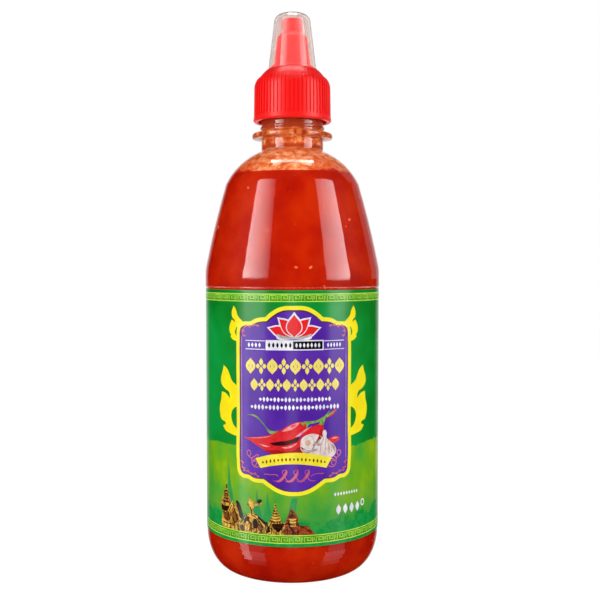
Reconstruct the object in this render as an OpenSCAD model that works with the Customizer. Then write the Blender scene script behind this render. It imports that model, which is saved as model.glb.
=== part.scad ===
// Squeeze bottle of chili sauce: a clear bottle, the sauce in it, a wrap label,
// a ribbed screw cap with a cone nozzle, and a clear cover over the nozzle.
// Millimetres. The bottle stands on z = 0 with its axis on Z, label front to -Y.

/* [Bottle body] */
// Radius of the body where the label sits
body_r = 33.05; // [26:0.05:42]
// Height at which the wall starts to lean into the shoulder
body_h = 112.2; // [92:0.1:140]
// How far the wall above the label stands proud of the label panel
upper_step = 0.3; // [0.1:0.05:1]
// Wall thickness of the body
wall = 0.5; // [0.3:0.05:1.2]
// Thickness of the base
base_wall = 1.0; // [0.6:0.1:2]

/* [Base] */
// Outer radius of the ring that the bottle stands on
stand_r = 23.4; // [18:0.1:25]
// Width of the standing ring
stand_w = 2; // [1:0.1:4]
// Height of the push-up in the middle of the base
punt_h = 4.5; // [2:0.1:8]
// Height over which the heel rounds into the wall
heel_h = 15; // [10:0.5:20]

/* [Shoulder] */
// Radius of the first bend, from the upright wall into the flank
ease_r = 20.7; // [10:0.1:30]
// Lean of the flank where it starts, in degrees from upright
flank_lean_low = 11.3; // [8:0.1:13]
// Radius of the long slow curve of the flank
flank_r = 341.5; // [280:0.5:400]
// Lean of the flank where it ends
flank_lean_high = 16.5; // [15:0.1:18]
// Radius of the tight bend from the flank into the crown
knee_r = 4.1; // [3:0.1:8]
// Lean where the crown starts
crown_lean = 26.4; // [22:0.1:30]
// Radius of the crown, which rounds in to the neck
crown_r = 25.2; // [22:0.1:32]

/* [Neck] */
// Radius of the neck below the carrying ring
neck_r = 11.8; // [9.5:0.05:14.2]
// Wall thickness of the neck
neck_wall = 1.6; // [1:0.1:2.2]
// Radius of the hollow where the crown meets the neck
neck_fillet = 1; // [0.5:0.1:2]
// Height of bare neck between the crown and the carrying ring
neck_low_h = 3.4; // [2:0.1:6]
// How far the carrying ring stands out from the neck
ring_out = 3.55; // [2:0.05:5]
// Thickness of the carrying ring at its rim
ring_rim_t = 2.1; // [1.2:0.1:2.5]
// Extra thickness of the carrying ring at the neck, on its underside
ring_root_low = 0.5; // [0.2:0.1:1]
// Extra thickness of the carrying ring at the neck, on its upper side
ring_root_top = 0.9; // [0.2:0.1:1.5]
// Gap between the carrying ring and the small bead above it
bead_gap = 0.4; // [0.3:0.1:2]
// Height of the bead
bead_h = 1.4; // [1:0.1:3]
// How far the bead stands out from the neck
bead_out = 0.45; // [0.2:0.05:0.8]
// Height of the neck from the top of the carrying ring to its rim
finish_h = 18; // [15:0.1:24]

/* [Sauce] */
// How far the surface of the sauce lies below the foot of the neck
fill_drop = 9.9; // [5:0.1:15]

/* [Label] */
// Gap between the end of the heel and the lower edge of the label
label_lift = 0.9; // [0.5:0.1:4]
// Gap between the upper edge of the label and the start of the shoulder
label_drop = 5; // [2:0.1:12]
// Thickness of the label
label_t = 0.15; // [0.1:0.05:0.3]

/* [Cap] */
// Room for the screw thread between the neck and the cap's skirt
thread_gap = 1.35; // [1.2:0.05:2]
// Thickness of the skirt between the ribs
skirt_wall = 1.08; // [0.7:0.02:2]
// Depth inside the cap, from its lower edge to the rim of the neck
cap_depth = 14.5; // [12:0.1:14.8]
// Thickness of the cap's deck, from the rim of the neck to the ledge
deck_t = 1.75; // [1.6:0.05:3]
// Number of grip ribs
rib_count = 60; // [36:1:72]
// Depth of the grip ribs
rib_depth = 0.42; // [0.2:0.02:0.7]
// Share of each pitch that is rib
rib_share = 0.55; // [0.35:0.05:0.7]
// How far the skirt narrows from bottom to top
skirt_draft = 0.15; // [0:0.05:0.4]
// Height of the smooth lip at the foot of the skirt
lip_h = 2; // [1.5:0.1:4]
// How far the lip stands out past the ribs
lip_out = 0.27; // [0.1:0.01:0.8]
// Radius of the ribbed edge at the top of the skirt
edge_r = 5.5; // [4.5:0.1:7]
// Lean at which the ribbed edge stops at its ledge
edge_lean = 41.4; // [36:0.1:46]
// Width of the ledge between the ribbed edge and the dome
ledge_w = 0.32; // [0.2:0.02:0.6]
// Lean of the dome where it starts
dome_lean_low = 31.7; // [20:0.1:38]
// Lean of the dome where it ends
dome_lean_high = 52.9; // [48:0.1:70]

/* [Nozzle] */
// Radius of the nozzle at its foot
nozzle_r = 7.05; // [5.8:0.05:8.5]
// Radius of the nozzle's cone at its top
nozzle_top_r = 5.7; // [4.7:0.05:6.9]
// Height of the nozzle's cone
nozzle_h = 12; // [9:0.1:15]
// Height of the slope between the cone and the tip
tip_slope_h = 1.8; // [1:0.1:3]
// Radius of the tip
tip_r = 3.95; // [3:0.05:4.5]
// Height of the tip
tip_h = 5; // [3:0.1:7]
// Radius of the hole in the tip
tip_hole_r = 1.5; // [1:0.05:1.8]
// Wall thickness of the nozzle
nozzle_wall = 1.3; // [1:0.1:1.8]
// Height of the collar that holds the cover
collar_h = 1; // [0.6:0.1:1.5]

/* [Cover] */
// Room between the nozzle and the cover at the foot
cover_foot_gap = 1.3; // [1.1:0.05:2]
// How much wider the cover is inside its rounded top than the nozzle's cone
cover_top_gap = 0.45; // [0.3:0.05:1]
// Wall thickness of the cover
cover_wall = 0.8; // [0.5:0.05:1.1]
// Radius of the rounded edge at the top of the cover
cover_edge_r = 3.2; // [2.5:0.1:4]
// How far the middle of the cover's top rises
cover_crown = 0.5; // [0.2:0.1:1]
// Free height between the tip of the nozzle and the cover
tip_gap = 1.2; // [0.8:0.1:3]
// Clearance between the collar and the cover
cover_fit = 0.05; // [0:0.05:0.2]

/* [Hidden] */
$fn = 96;

// A profile is walked upwards from a point [radius, height]. Its lean is the
// angle from upright towards the axis. One step of the walk is an arc that
// takes the lean from a to b; a bend the other way is an arc with b under a.
function arc(p, rad, a, b, n) =
    let (s = b > a ? 1 : -1)
    [for (i = [1:n]) let (t = a + (b - a) * i / n)
        [p[0] + s * rad * (cos(t) - cos(a)), p[1] + s * rad * (sin(t) - sin(a))]];
function last(points) = points[len(points) - 1];
function flip(points) = [for (i = [len(points) - 1:-1:0]) points[i]];

// Heights on the body. The panel ends just above the label, and a short slope
// leads out to the wall above it.
upper_r = body_r + upper_step;
label_z = heel_h + label_lift;
label_top = body_h - label_drop;
panel_over = 0.3;
slope_h = 0.5;
panel_top = label_top + panel_over;
upper_z = panel_top + slope_h;

// The shoulder at a depth d inside the outer face, up to a neck of radius r,
// with a hollow of radius f where the two meet.
function flank(d) =
    let (a = arc([upper_r - d, body_h], ease_r - d, 0, flank_lean_low, 6),
         b = arc(last(a), flank_r - d, flank_lean_low, flank_lean_high, 5),
         c = arc(last(b), knee_r - d, flank_lean_high, crown_lean, 4))
    concat([[upper_r - d, body_h]], a, b, c);
function crown(start, rad, r, f) =
    let (centre = start[0] - rad * cos(crown_lean),
         lean = acos((r - centre + f) / (rad + f)),
         a = arc(start, rad, crown_lean, lean, 12),
         b = arc(last(a), f, lean, 0, 5))
    concat(a, b);
function shoulder(d, r, f) = concat(flank(d), crown(last(flank(d)), crown_r - d, r, f));

// The heel from radius r at height z, out to the wall at the top of the heel
function heel(r, z, wall_r) =
    [for (i = [0:14]) let (t = 90 * i / 14)
        [r + (wall_r - r) * sin(t), z + (heel_h - z) * (1 - cos(t))]];
// The push-up in the base, from the axis to the standing ring, raised by z
function punt(z) =
    let (r = stand_r - stand_w, rad = (r * r + punt_h * punt_h) / (2 * punt_h))
    [for (i = [0:8]) let (x = r * i / 8) [x, z + punt_h - rad + sqrt(rad * rad - x * x)]];
// The whole wall up to the neck, at a depth d inside the outer face
function wall_line(d, base, r, f) =
    concat(punt(base), heel(stand_r, base, body_r - d),
        [[body_r - d, panel_top], [upper_r - d, upper_z]], shoulder(d, r, f));

// Heights on the neck and the cap
bore_r = neck_r - neck_wall;
outer_line = wall_line(0, 0, neck_r, neck_fillet);
inner_line = wall_line(wall, base_wall, bore_r, neck_fillet + neck_wall);
neck_z = last(outer_line)[1];
fill_z = neck_z - fill_drop;
ring_z = neck_z + neck_low_h;
ring_t = ring_root_low + ring_rim_t + ring_root_top;
ring_r = neck_r + ring_out;
ring_round = ring_rim_t * 0.4;
bead_z = ring_z + ring_t + bead_gap;
rim_z = ring_z + ring_t + finish_h;
cap_z = rim_z - cap_depth;

// The carrying ring, the bead and the rim, from below to above
function ring_line() = concat(
    [[neck_r, ring_z]],
    [for (i = [0:4]) let (t = -90 + 90 * i / 4)
        [ring_r - ring_round + ring_round * cos(t),
         ring_z + ring_root_low + ring_round + ring_round * sin(t)]],
    [for (i = [0:4]) let (t = 90 * i / 4)
        [ring_r - ring_round + ring_round * cos(t),
         ring_z + ring_root_low + ring_rim_t - ring_round + ring_round * sin(t)]],
    [[neck_r, ring_z + ring_t]]);
function bead_line() = [
    [neck_r, bead_z],
    [neck_r + bead_out, bead_z + bead_out],
    [neck_r + bead_out, bead_z + bead_h - bead_out],
    [neck_r, bead_z + bead_h]];

// Radii and heights on the cap
skirt_in_r = neck_r + thread_gap;
core_r = skirt_in_r + skirt_wall;
rib_r = core_r + rib_depth;
rib_top_r = rib_r - skirt_draft;
rib_z = cap_z + lip_h;
ledge_z = rim_z + deck_t;
edge_z = ledge_z - edge_r * sin(edge_lean);
lip_r = rib_r + lip_out;
lip_bevel = 0.5;
// The ribs fade to this depth where they meet the ledge
rib_end_depth = 0.14;
// How deep the ribs are rooted in the skirt
rib_root = 0.3;
// How far the spokes that cut the ribs reach past them
spoke_over = 1;

// The ribbed skin of the cap, at a depth that goes from low to high
function skin(low, high) = concat(
    [[rib_r - low, rib_z], [rib_top_r - low, edge_z]],
    [for (i = [1:6]) let (t = edge_lean * i / 6, d = low + (high - low) * i / 6)
        [rib_top_r - edge_r + (edge_r - d) * cos(t), edge_z + (edge_r - d) * sin(t)]]);

// The dome rises from the ledge to the seat of the cover
edge_end = last(skin(rib_depth, rib_end_depth));
dome_foot_r = last(skin(0, 0))[0] - ledge_w;
seat_round = 0.5;
seat_rim = 0.04;
cover_r = nozzle_r + cover_foot_gap + cover_wall;
dome_end_r = cover_r + seat_rim + seat_round * cos(dome_lean_high);
dome_rad = (dome_foot_r - dome_end_r) / (cos(dome_lean_low) - cos(dome_lean_high));
dome_line = arc([dome_foot_r, edge_end[1]], dome_rad, dome_lean_low, dome_lean_high, 7);
seat_line = arc(last(dome_line), seat_round, dome_lean_high, 90, 3);
seat_z = last(seat_line)[1];

// Sizes of the nozzle and the cover
cover_top_r = nozzle_top_r + cover_top_gap + cover_wall;
cone_top_z = seat_z + nozzle_h;
tip_z = cone_top_z + tip_slope_h;
tip_top_z = tip_z + tip_h;
cover_top_z = tip_top_z + tip_gap + cover_wall;
cover_lean = atan((cover_r - cover_top_r) / (cover_top_z - seat_z - cover_edge_r));
cover_side_z = cover_top_z - cover_edge_r * (1 - sin(cover_lean));
cover_flat_r = cover_top_r - cover_edge_r * cos(cover_lean);

// The collar fills the foot of the cover, but for the clearance
collar_r = cover_r - (cover_wall + cover_fit) / cos(cover_lean) - collar_h * tan(cover_lean);
collar_top_z = seat_z + collar_h;
collar_bevel = 0.25;
tip_round = 0.6;
nozzle_line = concat(
    [[collar_r, seat_z], [collar_r, collar_top_z - collar_bevel]],
    [[collar_r - collar_bevel, collar_top_z], [nozzle_r, collar_top_z]],
    [[nozzle_top_r, cone_top_z], [tip_r, tip_z], [tip_r, tip_top_z - tip_round]],
    arc([tip_r, tip_top_z - tip_round], tip_round, 0, 90, 4));
// The way out through the nozzle, from the tip down to the rim of the neck
channel_line = [
    [tip_hole_r, tip_top_z],
    [tip_hole_r, tip_z - nozzle_wall],
    [nozzle_top_r - nozzle_wall, cone_top_z - nozzle_wall],
    [nozzle_r - nozzle_wall, rim_z]];

// The cover's face, at a depth d inside its outer face
function cover_line(d) =
    let (side_end = [cover_top_r - d * cos(cover_lean), cover_side_z - d * sin(cover_lean)])
    concat(
    [[cover_r - d / cos(cover_lean), seat_z], side_end],
    arc(side_end, cover_edge_r - d, cover_lean, 90, 8),
    [for (i = [1:4]) let (x = cover_flat_r * (1 - i / 4), k = 1 - pow(x / cover_flat_r, 2))
        [x, cover_top_z - d + cover_crown * k]]);

// Clear bottle: one shell from the base to the rim of the neck
module bottle() {
    color([0.93, 0.90, 0.88, 0.4])
    rotate_extrude()
    polygon(concat(
        outer_line, ring_line(), bead_line(),
        [[neck_r, rim_z], [bore_r, rim_z]],
        flip(inner_line)));
}

// Sauce: fills the bottle from wall to wall, up to its level
module sauce() {
    color([0.78, 0.16, 0.03])
    intersection() {
        rotate_extrude()
        polygon(concat(inner_line, [[bore_r, rim_z], [0, rim_z]]));
        cylinder(r = upper_r, h = fill_z);
    }
}

// Label: one thin wrap round the panel
module label() {
    color([0.05, 0.52, 0.20])
    rotate_extrude()
    translate([body_r, label_z])
    square([label_t, label_top - label_z]);
}

// Spokes that share out the ribs round the cap
module spokes(inner, outer, height) {
    half = rib_share * 180 / rib_count;
    linear_extrude(height)
    polygon([for (i = [0:rib_count - 1], k = [0:3])
        let (a = i * 360 / rib_count + (k < 2 ? -half : half), r = k == 0 || k == 3 ? inner : outer)
        [r * cos(a), r * sin(a)]]);
}

// Ribs: the skin of the cap, kept only on the spokes
module ribs() {
    intersection() {
        rotate_extrude()
        polygon(concat(skin(0, 0), flip(skin(rib_depth + rib_root, rib_end_depth + rib_root))));
        translate([0, 0, rib_z - spoke_over])
        spokes(dome_foot_r - spoke_over, rib_r + spoke_over, ledge_z - rib_z + 2 * spoke_over);
    }
}

// Cap: skirt with lip and ribs, dome and nozzle in one moulding
module cap() {
    color([0.90, 0.03, 0.04]) {
        rotate_extrude()
        polygon(concat(
            [[skirt_in_r, rim_z], [skirt_in_r, cap_z], [lip_r - lip_bevel, cap_z]],
            [[lip_r, cap_z + lip_bevel], [rib_r, rib_z], [core_r, rib_z]],
            skin(rib_depth, rib_end_depth),
            [[dome_foot_r, edge_end[1]]],
            dome_line, seat_line, nozzle_line, channel_line));
        ribs();
    }
}

// Cover: a clear cup upside down over the nozzle, seated on the cap
module cover() {
    color([0.95, 0.93, 0.90, 0.45])
    rotate_extrude()
    polygon(concat(cover_line(0), flip(cover_line(cover_wall))));
}

bottle();
sauce();
label();
cap();
cover();
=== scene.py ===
"""Chili sauce in a clear squeeze bottle with a red cap: its looks, print, light and camera.

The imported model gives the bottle, cap, cover and label their shapes and places. This script
gives them their finishes, fills the bottle with sauce that wets the wall, adds the seeds and
flecks in it, and lays the label's print on the film as thin layers of ink.
Lengths in the drawings are millimetres, and MM turns them to metres.
"""
import math
import random

import bpy
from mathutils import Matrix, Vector


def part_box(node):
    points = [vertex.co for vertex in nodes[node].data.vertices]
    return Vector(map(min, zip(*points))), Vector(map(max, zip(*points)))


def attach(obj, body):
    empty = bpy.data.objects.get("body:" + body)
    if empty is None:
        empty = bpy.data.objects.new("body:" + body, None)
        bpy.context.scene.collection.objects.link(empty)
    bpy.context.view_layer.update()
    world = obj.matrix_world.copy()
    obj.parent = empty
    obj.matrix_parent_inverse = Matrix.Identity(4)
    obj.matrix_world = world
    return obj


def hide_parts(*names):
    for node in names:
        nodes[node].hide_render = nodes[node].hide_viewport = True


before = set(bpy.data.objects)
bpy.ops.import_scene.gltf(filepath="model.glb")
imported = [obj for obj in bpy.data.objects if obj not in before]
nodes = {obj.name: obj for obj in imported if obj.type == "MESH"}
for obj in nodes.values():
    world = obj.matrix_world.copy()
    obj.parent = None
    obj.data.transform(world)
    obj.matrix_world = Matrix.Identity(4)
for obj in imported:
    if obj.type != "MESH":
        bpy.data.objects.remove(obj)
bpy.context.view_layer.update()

chance = random.Random(7)
MM = 0.001

label_low, label_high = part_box("label")
LABEL_R = label_high.x / MM            # outside of the film
LABEL_BASE = label_low.z / MM
LABEL_TOP = label_high.z / MM
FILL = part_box("sauce")[1].z / MM       # level of the sauce
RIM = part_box("bottle")[1].z / MM       # top of the neck
NECK_FOOT = 160.6                      # height where the shoulder turns up into the neck
HEEL = 14.0                            # height from which the base's inside is felt out
INTO_WALL = 0.15                       # how far the sauce reaches into the bottle's wall
COAT = 0.45                            # thickness of the coat of sauce above the level
BIT = 0.16                             # thickness of a seed or a shred of skin
STRIPS = 140                           # flat strips that a wrapped shape is cut into, all round
STRIP = 2 * math.pi * LABEL_R / STRIPS
INK = 0.012                            # one layer of print
WELD = 0.004                           # corners of a drawing closer than this are one
SLIVER = 0.002                         # edges shorter than this are taken out
MIDDLE = 0.9                           # the front panel's centre line, along the wrap
TREE_LINE = 50.9                       # height where the lime green meets the deep green
THICKET = 25.6                         # height of the darker growth at the label's foot

# Typical optics of the materials.
PET_IOR = 1.57
MILKY_PP_IOR = 1.4
PP_IOR = 1.49
SAUCE_IOR = 1.38
CHILI_IOR = 1.45
SATIN = 0.19                           # roughness of the printed film


# ------------------------------------------------ modelling helpers

def select_none():
    """Leaves edit mode and deselects everything."""
    if bpy.context.mode != "OBJECT":
        bpy.ops.object.mode_set(mode="OBJECT")
    bpy.ops.object.select_all(action="DESELECT")


def select_only(*pieces):
    """Selects these pieces and makes the first one active."""
    select_none()
    for piece in pieces:
        piece.select_set(True)
    bpy.context.view_layer.objects.active = pieces[0]


def start_edit(piece):
    select_only(piece)
    bpy.ops.object.mode_set(mode="EDIT")
    bpy.ops.mesh.select_mode(type="FACE")


def apply_modifiers(piece):
    select_only(piece)
    for modifier in list(piece.modifiers):
        bpy.ops.object.modifier_apply(modifier=modifier.name)


def smooth(piece, degrees=40):
    select_only(piece)
    bpy.ops.object.shade_smooth_by_angle(angle=math.radians(degrees))


def hand_over(piece, finish):
    """Gives a finished piece its material and its body."""
    piece.data.materials.clear()
    piece.data.materials.append(finish)
    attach(piece, "root")


# ------------------------------------------------ material helpers

def colour(code):
    """An sRGB hex colour as linear RGBA."""
    parts = [int(code[i:i + 2], 16) / 255 for i in (1, 3, 5)]
    return tuple(c / 12.92 if c <= 0.04045 else ((c + 0.055) / 1.055) ** 2.4 for c in parts) + (1,)


def add(tree, kind, values=None, links=None, **settings):
    """Adds a node with its settings, its socket values and its links."""
    made = tree.nodes.new(kind)
    for key, value in settings.items():
        setattr(made, key, value)
    for key, value in (values or {}).items():
        made.inputs[key].default_value = value
    for key, source in (links or {}).items():
        tree.links.new(source, made.inputs[key])
    return made


def new_material(name, **sockets):
    """A material with one Principled shader; returns it, its tree and the shader."""
    made = bpy.data.materials.new(name)
    made.use_nodes = True
    tree = made.node_tree
    shader = tree.nodes["Principled BSDF"]
    for key, value in sockets.items():
        shader.inputs[key.replace("_", " ")].default_value = value
    return made, tree, shader


def place_of(tree):
    return add(tree, "ShaderNodeTexCoord").outputs["Object"]


def mottle(tree, place, size, detail=2.0, rough=0.5):
    """Noise whose patches are about size millimetres across."""
    return add(tree, "ShaderNodeTexNoise",
               {"Scale": 1 / (size * MM), "Detail": detail, "Roughness": rough},
               {"Vector": place}).outputs["Fac"]


def ramp(tree, factor, stops):
    """Colours at places along a factor, as (place, hex)."""
    made = add(tree, "ShaderNodeValToRGB", links={"Fac": factor})
    marks = made.color_ramp.elements
    while len(marks) < len(stops):
        marks.new(0.5)
    for mark, (spot, code) in zip(marks, stops):
        mark.position = spot
        mark.color = colour(code)
    return made.outputs["Color"]


def blend_colours(tree, factor, first, second):
    """Mixes two colours, each a hex code or a socket."""
    made = add(tree, "ShaderNodeMix", data_type="RGBA", links={0: factor})
    for slot, value in ((6, first), (7, second)):
        if isinstance(value, str):
            made.inputs[slot].default_value = colour(value)
        else:
            tree.links.new(value, made.inputs[slot])
    return made.outputs[2]


def sum_up(tree, kind, first, second=None, third=None):
    """One step of arithmetic on numbers or sockets."""
    made = add(tree, "ShaderNodeMath", operation=kind)
    for index, value in enumerate((first, second, third)):
        if value is None:
            continue
        if isinstance(value, (int, float)):
            made.inputs[index].default_value = value
        else:
            tree.links.new(value, made.inputs[index])
    return made.outputs[0]


def between(tree, value, low, high, start=0.0, end=1.0):
    """Maps value from low..high to start..end, clamped."""
    return add(tree, "ShaderNodeMapRange",
               {"From Min": low, "From Max": high, "To Min": start, "To Max": end},
               {"Value": value}).outputs["Result"]


def stirred(tree, height, noise, reach):
    """A height that noise moves up and down, over reach millimetres in all."""
    return sum_up(tree, "MULTIPLY_ADD", noise, reach * MM,
                  sum_up(tree, "ADD", height, -reach / 2 * MM))


def roughen(tree, shader, factor, low, high):
    """Roughness that follows a factor, from low to high."""
    tree.links.new(between(tree, factor, 0.3, 0.7, low, high), shader.inputs["Roughness"])


def emboss(tree, shader, height, depth, strength=1.0):
    """A bump whose full height is depth millimetres."""
    bump = add(tree, "ShaderNodeBump", {"Distance": depth * MM, "Strength": strength},
               {"Height": height})
    tree.links.new(bump.outputs["Normal"], shader.inputs["Normal"])


# ------------------------------------------------ materials

def clear_pet():
    # Blow-moulded PET: clear and hard-glossy, with the long shallow waves that
    # blowing leaves, so a straight reflection wanders a little.
    made, tree, shader = new_material("clear_blow_moulded_pet", Transmission_Weight=1.0,
                                      IOR=PET_IOR, Roughness=0.03)
    waves = mottle(tree, place_of(tree), 16, 0.0)
    tree.links.new(ramp(tree, waves, [(0.3, "#FBF8F5"), (0.7, "#FFFFFF")]),
                   shader.inputs["Base Color"])
    emboss(tree, shader, waves, 0.05, 0.6)
    return made


def natural_pp():
    # Thin injection-moulded natural polypropylene: milky, so what is behind it
    # loses contrast, with a soft broad shine.
    made, tree, shader = new_material("milky_natural_polypropylene", Transmission_Weight=0.965,
                                      IOR=MILKY_PP_IOR, Roughness=0.12)
    cloud = mottle(tree, place_of(tree), 3)
    tree.links.new(ramp(tree, cloud, [(0.3, "#E5D6D2"), (0.7, "#EBDED9")]),
                   shader.inputs["Base Color"])
    roughen(tree, shader, cloud, 0.05, 0.09)
    return made


def red_pp():
    # Injection-moulded red polypropylene: full even colour, satin, with the fine
    # orange-peel of a tool that was textured lightly.
    made, tree, shader = new_material("red_moulded_polypropylene", IOR=PP_IOR, Roughness=0.32,
                                      Specular_IOR_Level=0.32)
    place = place_of(tree)
    broad = mottle(tree, place, 9)
    tree.links.new(ramp(tree, broad, [(0.3, "#FC0C0B"), (0.7, "#FF1211")]),
                   shader.inputs["Base Color"])
    fine = mottle(tree, place, 0.5)
    roughen(tree, shader, fine, 0.28, 0.38)
    emboss(tree, shader, fine, 0.01, 0.5)
    return made


def chili_sauce():
    # Thick smooth sauce of red chili, vinegar and garlic: wet, opaque orange-red, with
    # darker and lighter clouds of pulp 5 to 20 mm across and a fine grain.
    made, tree, shader = new_material("thick_chili_sauce", IOR=SAUCE_IOR, Roughness=0.35,
                                      Specular_IOR_Level=0.04)
    place = place_of(tree)
    clouds = mottle(tree, place, 14, 3.0, 0.55)
    base = ramp(tree, clouds, [(0.32, "#B01400"), (0.48, "#BE1E00"), (0.66, "#CA2E02")])
    pulp = mottle(tree, place, 1.6, 3.0, 0.6)
    specks = between(tree, pulp, 0.66, 0.72, 0.0, 0.55)
    tree.links.new(blend_colours(tree, specks, base, "#DC4416"), shader.inputs["Base Color"])
    roughen(tree, shader, pulp, 0.25, 0.4)
    emboss(tree, shader, pulp, 0.15, 0.3)
    return made


def sauce_smear():
    # What the sauce leaves on the wall above its level: a thin wet coat, pale orange where it is
    # thin and red where thicker, with a ragged foot, darker in the neck, a darker red band at the
    # neck's foot, and painted shade near the cap.
    made, tree, shader = new_material("thin_sauce_smear", IOR=SAUCE_IOR, Roughness=0.3,
                                      Specular_IOR_Level=0.2)
    place = place_of(tree)
    height = add(tree, "ShaderNodeSeparateXYZ", links={"Vector": place}).outputs["Z"]
    wander = mottle(tree, place, 13, 2.0, 0.6)
    drips = mottle(tree, place, 2.2, 3.0, 0.6)
    shoulder = ramp(tree, drips, [(0.34, "#CE541A"), (0.45, "#E47C3A"), (0.56, "#F2A066"),
                                  (0.68, "#FACA9E")])
    shoulder = blend_colours(tree, between(tree, wander, 0.42, 0.6, 0.0, 0.6), shoulder, "#DC5418")
    neck = ramp(tree, drips, [(0.36, "#AE340C"), (0.48, "#DA5A1A"), (0.58, "#E07C36"),
                              (0.68, "#F4BE80")])
    in_neck = between(tree, height, (NECK_FOOT - 1.6) * MM, (NECK_FOOT + 2.4) * MM)
    high = blend_colours(tree, in_neck, shoulder, neck)
    # Painted shade: from 5.9 mm above the neck's foot upward the coat turns a darker red, standing
    # in for the cap's shade on the neck.
    painted_cap_shade = between(tree, height, (NECK_FOOT + 5.9) * MM, (NECK_FOOT + 7.4) * MM)
    high = blend_colours(tree, painted_cap_shade, high, "#B83A10")
    # A darker red band round the neck, strongest within 0.4 mm of the height where the shoulder
    # turns up into it and gone by 1.1 mm.
    from_foot = sum_up(tree, "ABSOLUTE", sum_up(tree, "SUBTRACT", height, NECK_FOOT * MM))
    neck_foot_band = between(tree, from_foot, 0.4 * MM, 1.1 * MM, 0.85, 0.0)
    high = blend_colours(tree, neck_foot_band, high, "#B43408")
    line = sum_up(tree, "MULTIPLY_ADD", wander, 7 * MM, (FILL - 5.3) * MM)
    line = sum_up(tree, "MULTIPLY_ADD", drips, 2.5 * MM, line)
    over = between(tree, sum_up(tree, "SUBTRACT", height, line), -0.2 * MM, 0.25 * MM)
    tree.links.new(blend_colours(tree, over, "#C22404", high), shader.inputs["Base Color"])
    roughen(tree, shader, drips, 0.22, 0.4)
    emboss(tree, shader, drips, 0.3, 0.5)
    return made


def chili_seed():
    # Dried chili seed soaked in sauce: pale straw showing through orange.
    made, tree, shader = new_material("soaked_chili_seed", IOR=CHILI_IOR, Roughness=0.4)
    tint = mottle(tree, place_of(tree), 2.5)
    tree.links.new(ramp(tree, tint, [(0.35, "#DE5A22"), (0.55, "#E8743A"), (0.7, "#F0A058")]),
                   shader.inputs["Base Color"])
    return made


def chili_skin():
    # Shreds of chili skin: dark red to nearly brown, glossy.
    made, tree, shader = new_material("chili_skin_fleck", IOR=CHILI_IOR, Roughness=0.3)
    tint = mottle(tree, place_of(tree), 3)
    tree.links.new(ramp(tree, tint, [(0.4, "#7E1404"), (0.6, "#A81E06")]),
                   shader.inputs["Base Color"])
    return made


def printed_film():
    # Reverse-printed polypropylene film: washes of green like watercolour, a ragged edge
    # of leaves where deep green meets lime, under a satin gloss.
    made, tree, shader = new_material("green_printed_film", IOR=PP_IOR, Roughness=SATIN)
    place = place_of(tree)
    height = add(tree, "ShaderNodeSeparateXYZ", links={"Vector": place}).outputs["Z"]
    broad = mottle(tree, place, 22)
    leaves = mottle(tree, place, 2.4, 3.0, 0.6)
    upright = add(tree, "ShaderNodeMapping", {"Scale": (1, 1, 0.7)}, {"Vector": place})
    washes = mottle(tree, upright.outputs["Vector"], 9, 4.0, 0.55)
    deep = ramp(tree, broad, [(0.35, "#007E1E"), (0.5, "#00902E"), (0.65, "#049E40")])
    lime = ramp(tree, washes, [(0.3, "#44A830"), (0.42, "#60AE1E"), (0.54, "#78B20A"),
                               (0.68, "#92BE06")])
    lime = blend_colours(tree, between(tree, height, 38 * MM, 25 * MM, 0.0, 0.6), lime, "#149844")
    low = ramp(tree, leaves, [(0.4, "#06923A"), (0.6, "#1EA044")])
    crowns = stirred(tree, stirred(tree, height, leaves, 2.4), broad, 5)
    upper = between(tree, crowns, TREE_LINE * MM, (TREE_LINE + 0.35) * MM)
    colours = blend_colours(tree, upper, lime, deep)
    growth = stirred(tree, stirred(tree, height, washes, -22), leaves, 5)
    lower = between(tree, growth, (THICKET + 1) * MM, (THICKET - 1) * MM)
    colours = blend_colours(tree, lower, colours, low)
    tree.links.new(colours, shader.inputs["Base Color"])
    roughen(tree, shader, leaves, SATIN - 0.02, SATIN + 0.02)
    emboss(tree, shader, broad, 0.05, 0.4)
    return made


def ink(name, light, dark, patch=5.0, grain=0.0, contrast=0.12):
    """Process ink on film: two near tints in patches, with a satin gloss.

    The tints drift over patch millimetres; grain, if given, is a second finer drift.
    """
    made, tree, shader = new_material(name, IOR=PP_IOR, Roughness=SATIN)
    place = place_of(tree)
    drift = mottle(tree, place, patch)
    if grain:
        drift = sum_up(tree, "ADD", sum_up(tree, "MULTIPLY", drift, 0.4),
                       sum_up(tree, "MULTIPLY", mottle(tree, place, grain, 2.0, 0.6), 0.6))
    tree.links.new(ramp(tree, drift, [(0.5 - contrast, dark), (0.5 + contrast, light)]),
                   shader.inputs["Base Color"])
    roughen(tree, shader, mottle(tree, place, 2.4, 1.0), SATIN - 0.02, SATIN + 0.02)
    return made


PET = clear_pet()
COVER = natural_pp()
RED = red_pp()
SAUCE = chili_sauce()
SMEAR = sauce_smear()
SEED = chili_seed()
SKIN = chili_skin()
FILM = printed_film()

for node_name, finish in (("bottle", PET), ("cap", RED), ("cover", COVER), ("label", FILM)):
    nodes[node_name].data.materials.clear()
    nodes[node_name].data.materials.append(finish)
for clear_node in ("bottle", "cover"):
    nodes[clear_node].visible_shadow = False        # lamps reach what is inside the clear shells


# ------------------------------------------------ the sauce and what it leaves on the wall

def inner_wall(height, lean):
    """Where the bottle's inner wall is, seen from the axis at a height, lean degrees above level.

    Gives the distance from the axis and the height, a little way into the wall, in millimetres.
    """
    way = Vector((math.cos(math.radians(lean)), 0, math.sin(math.radians(lean))))
    _, spot, normal, _ = nodes["bottle"].ray_cast(Vector((0, 0, height * MM)), way)
    spot = spot - normal * INTO_WALL * MM
    return spot.x / MM, spot.z / MM


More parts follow.
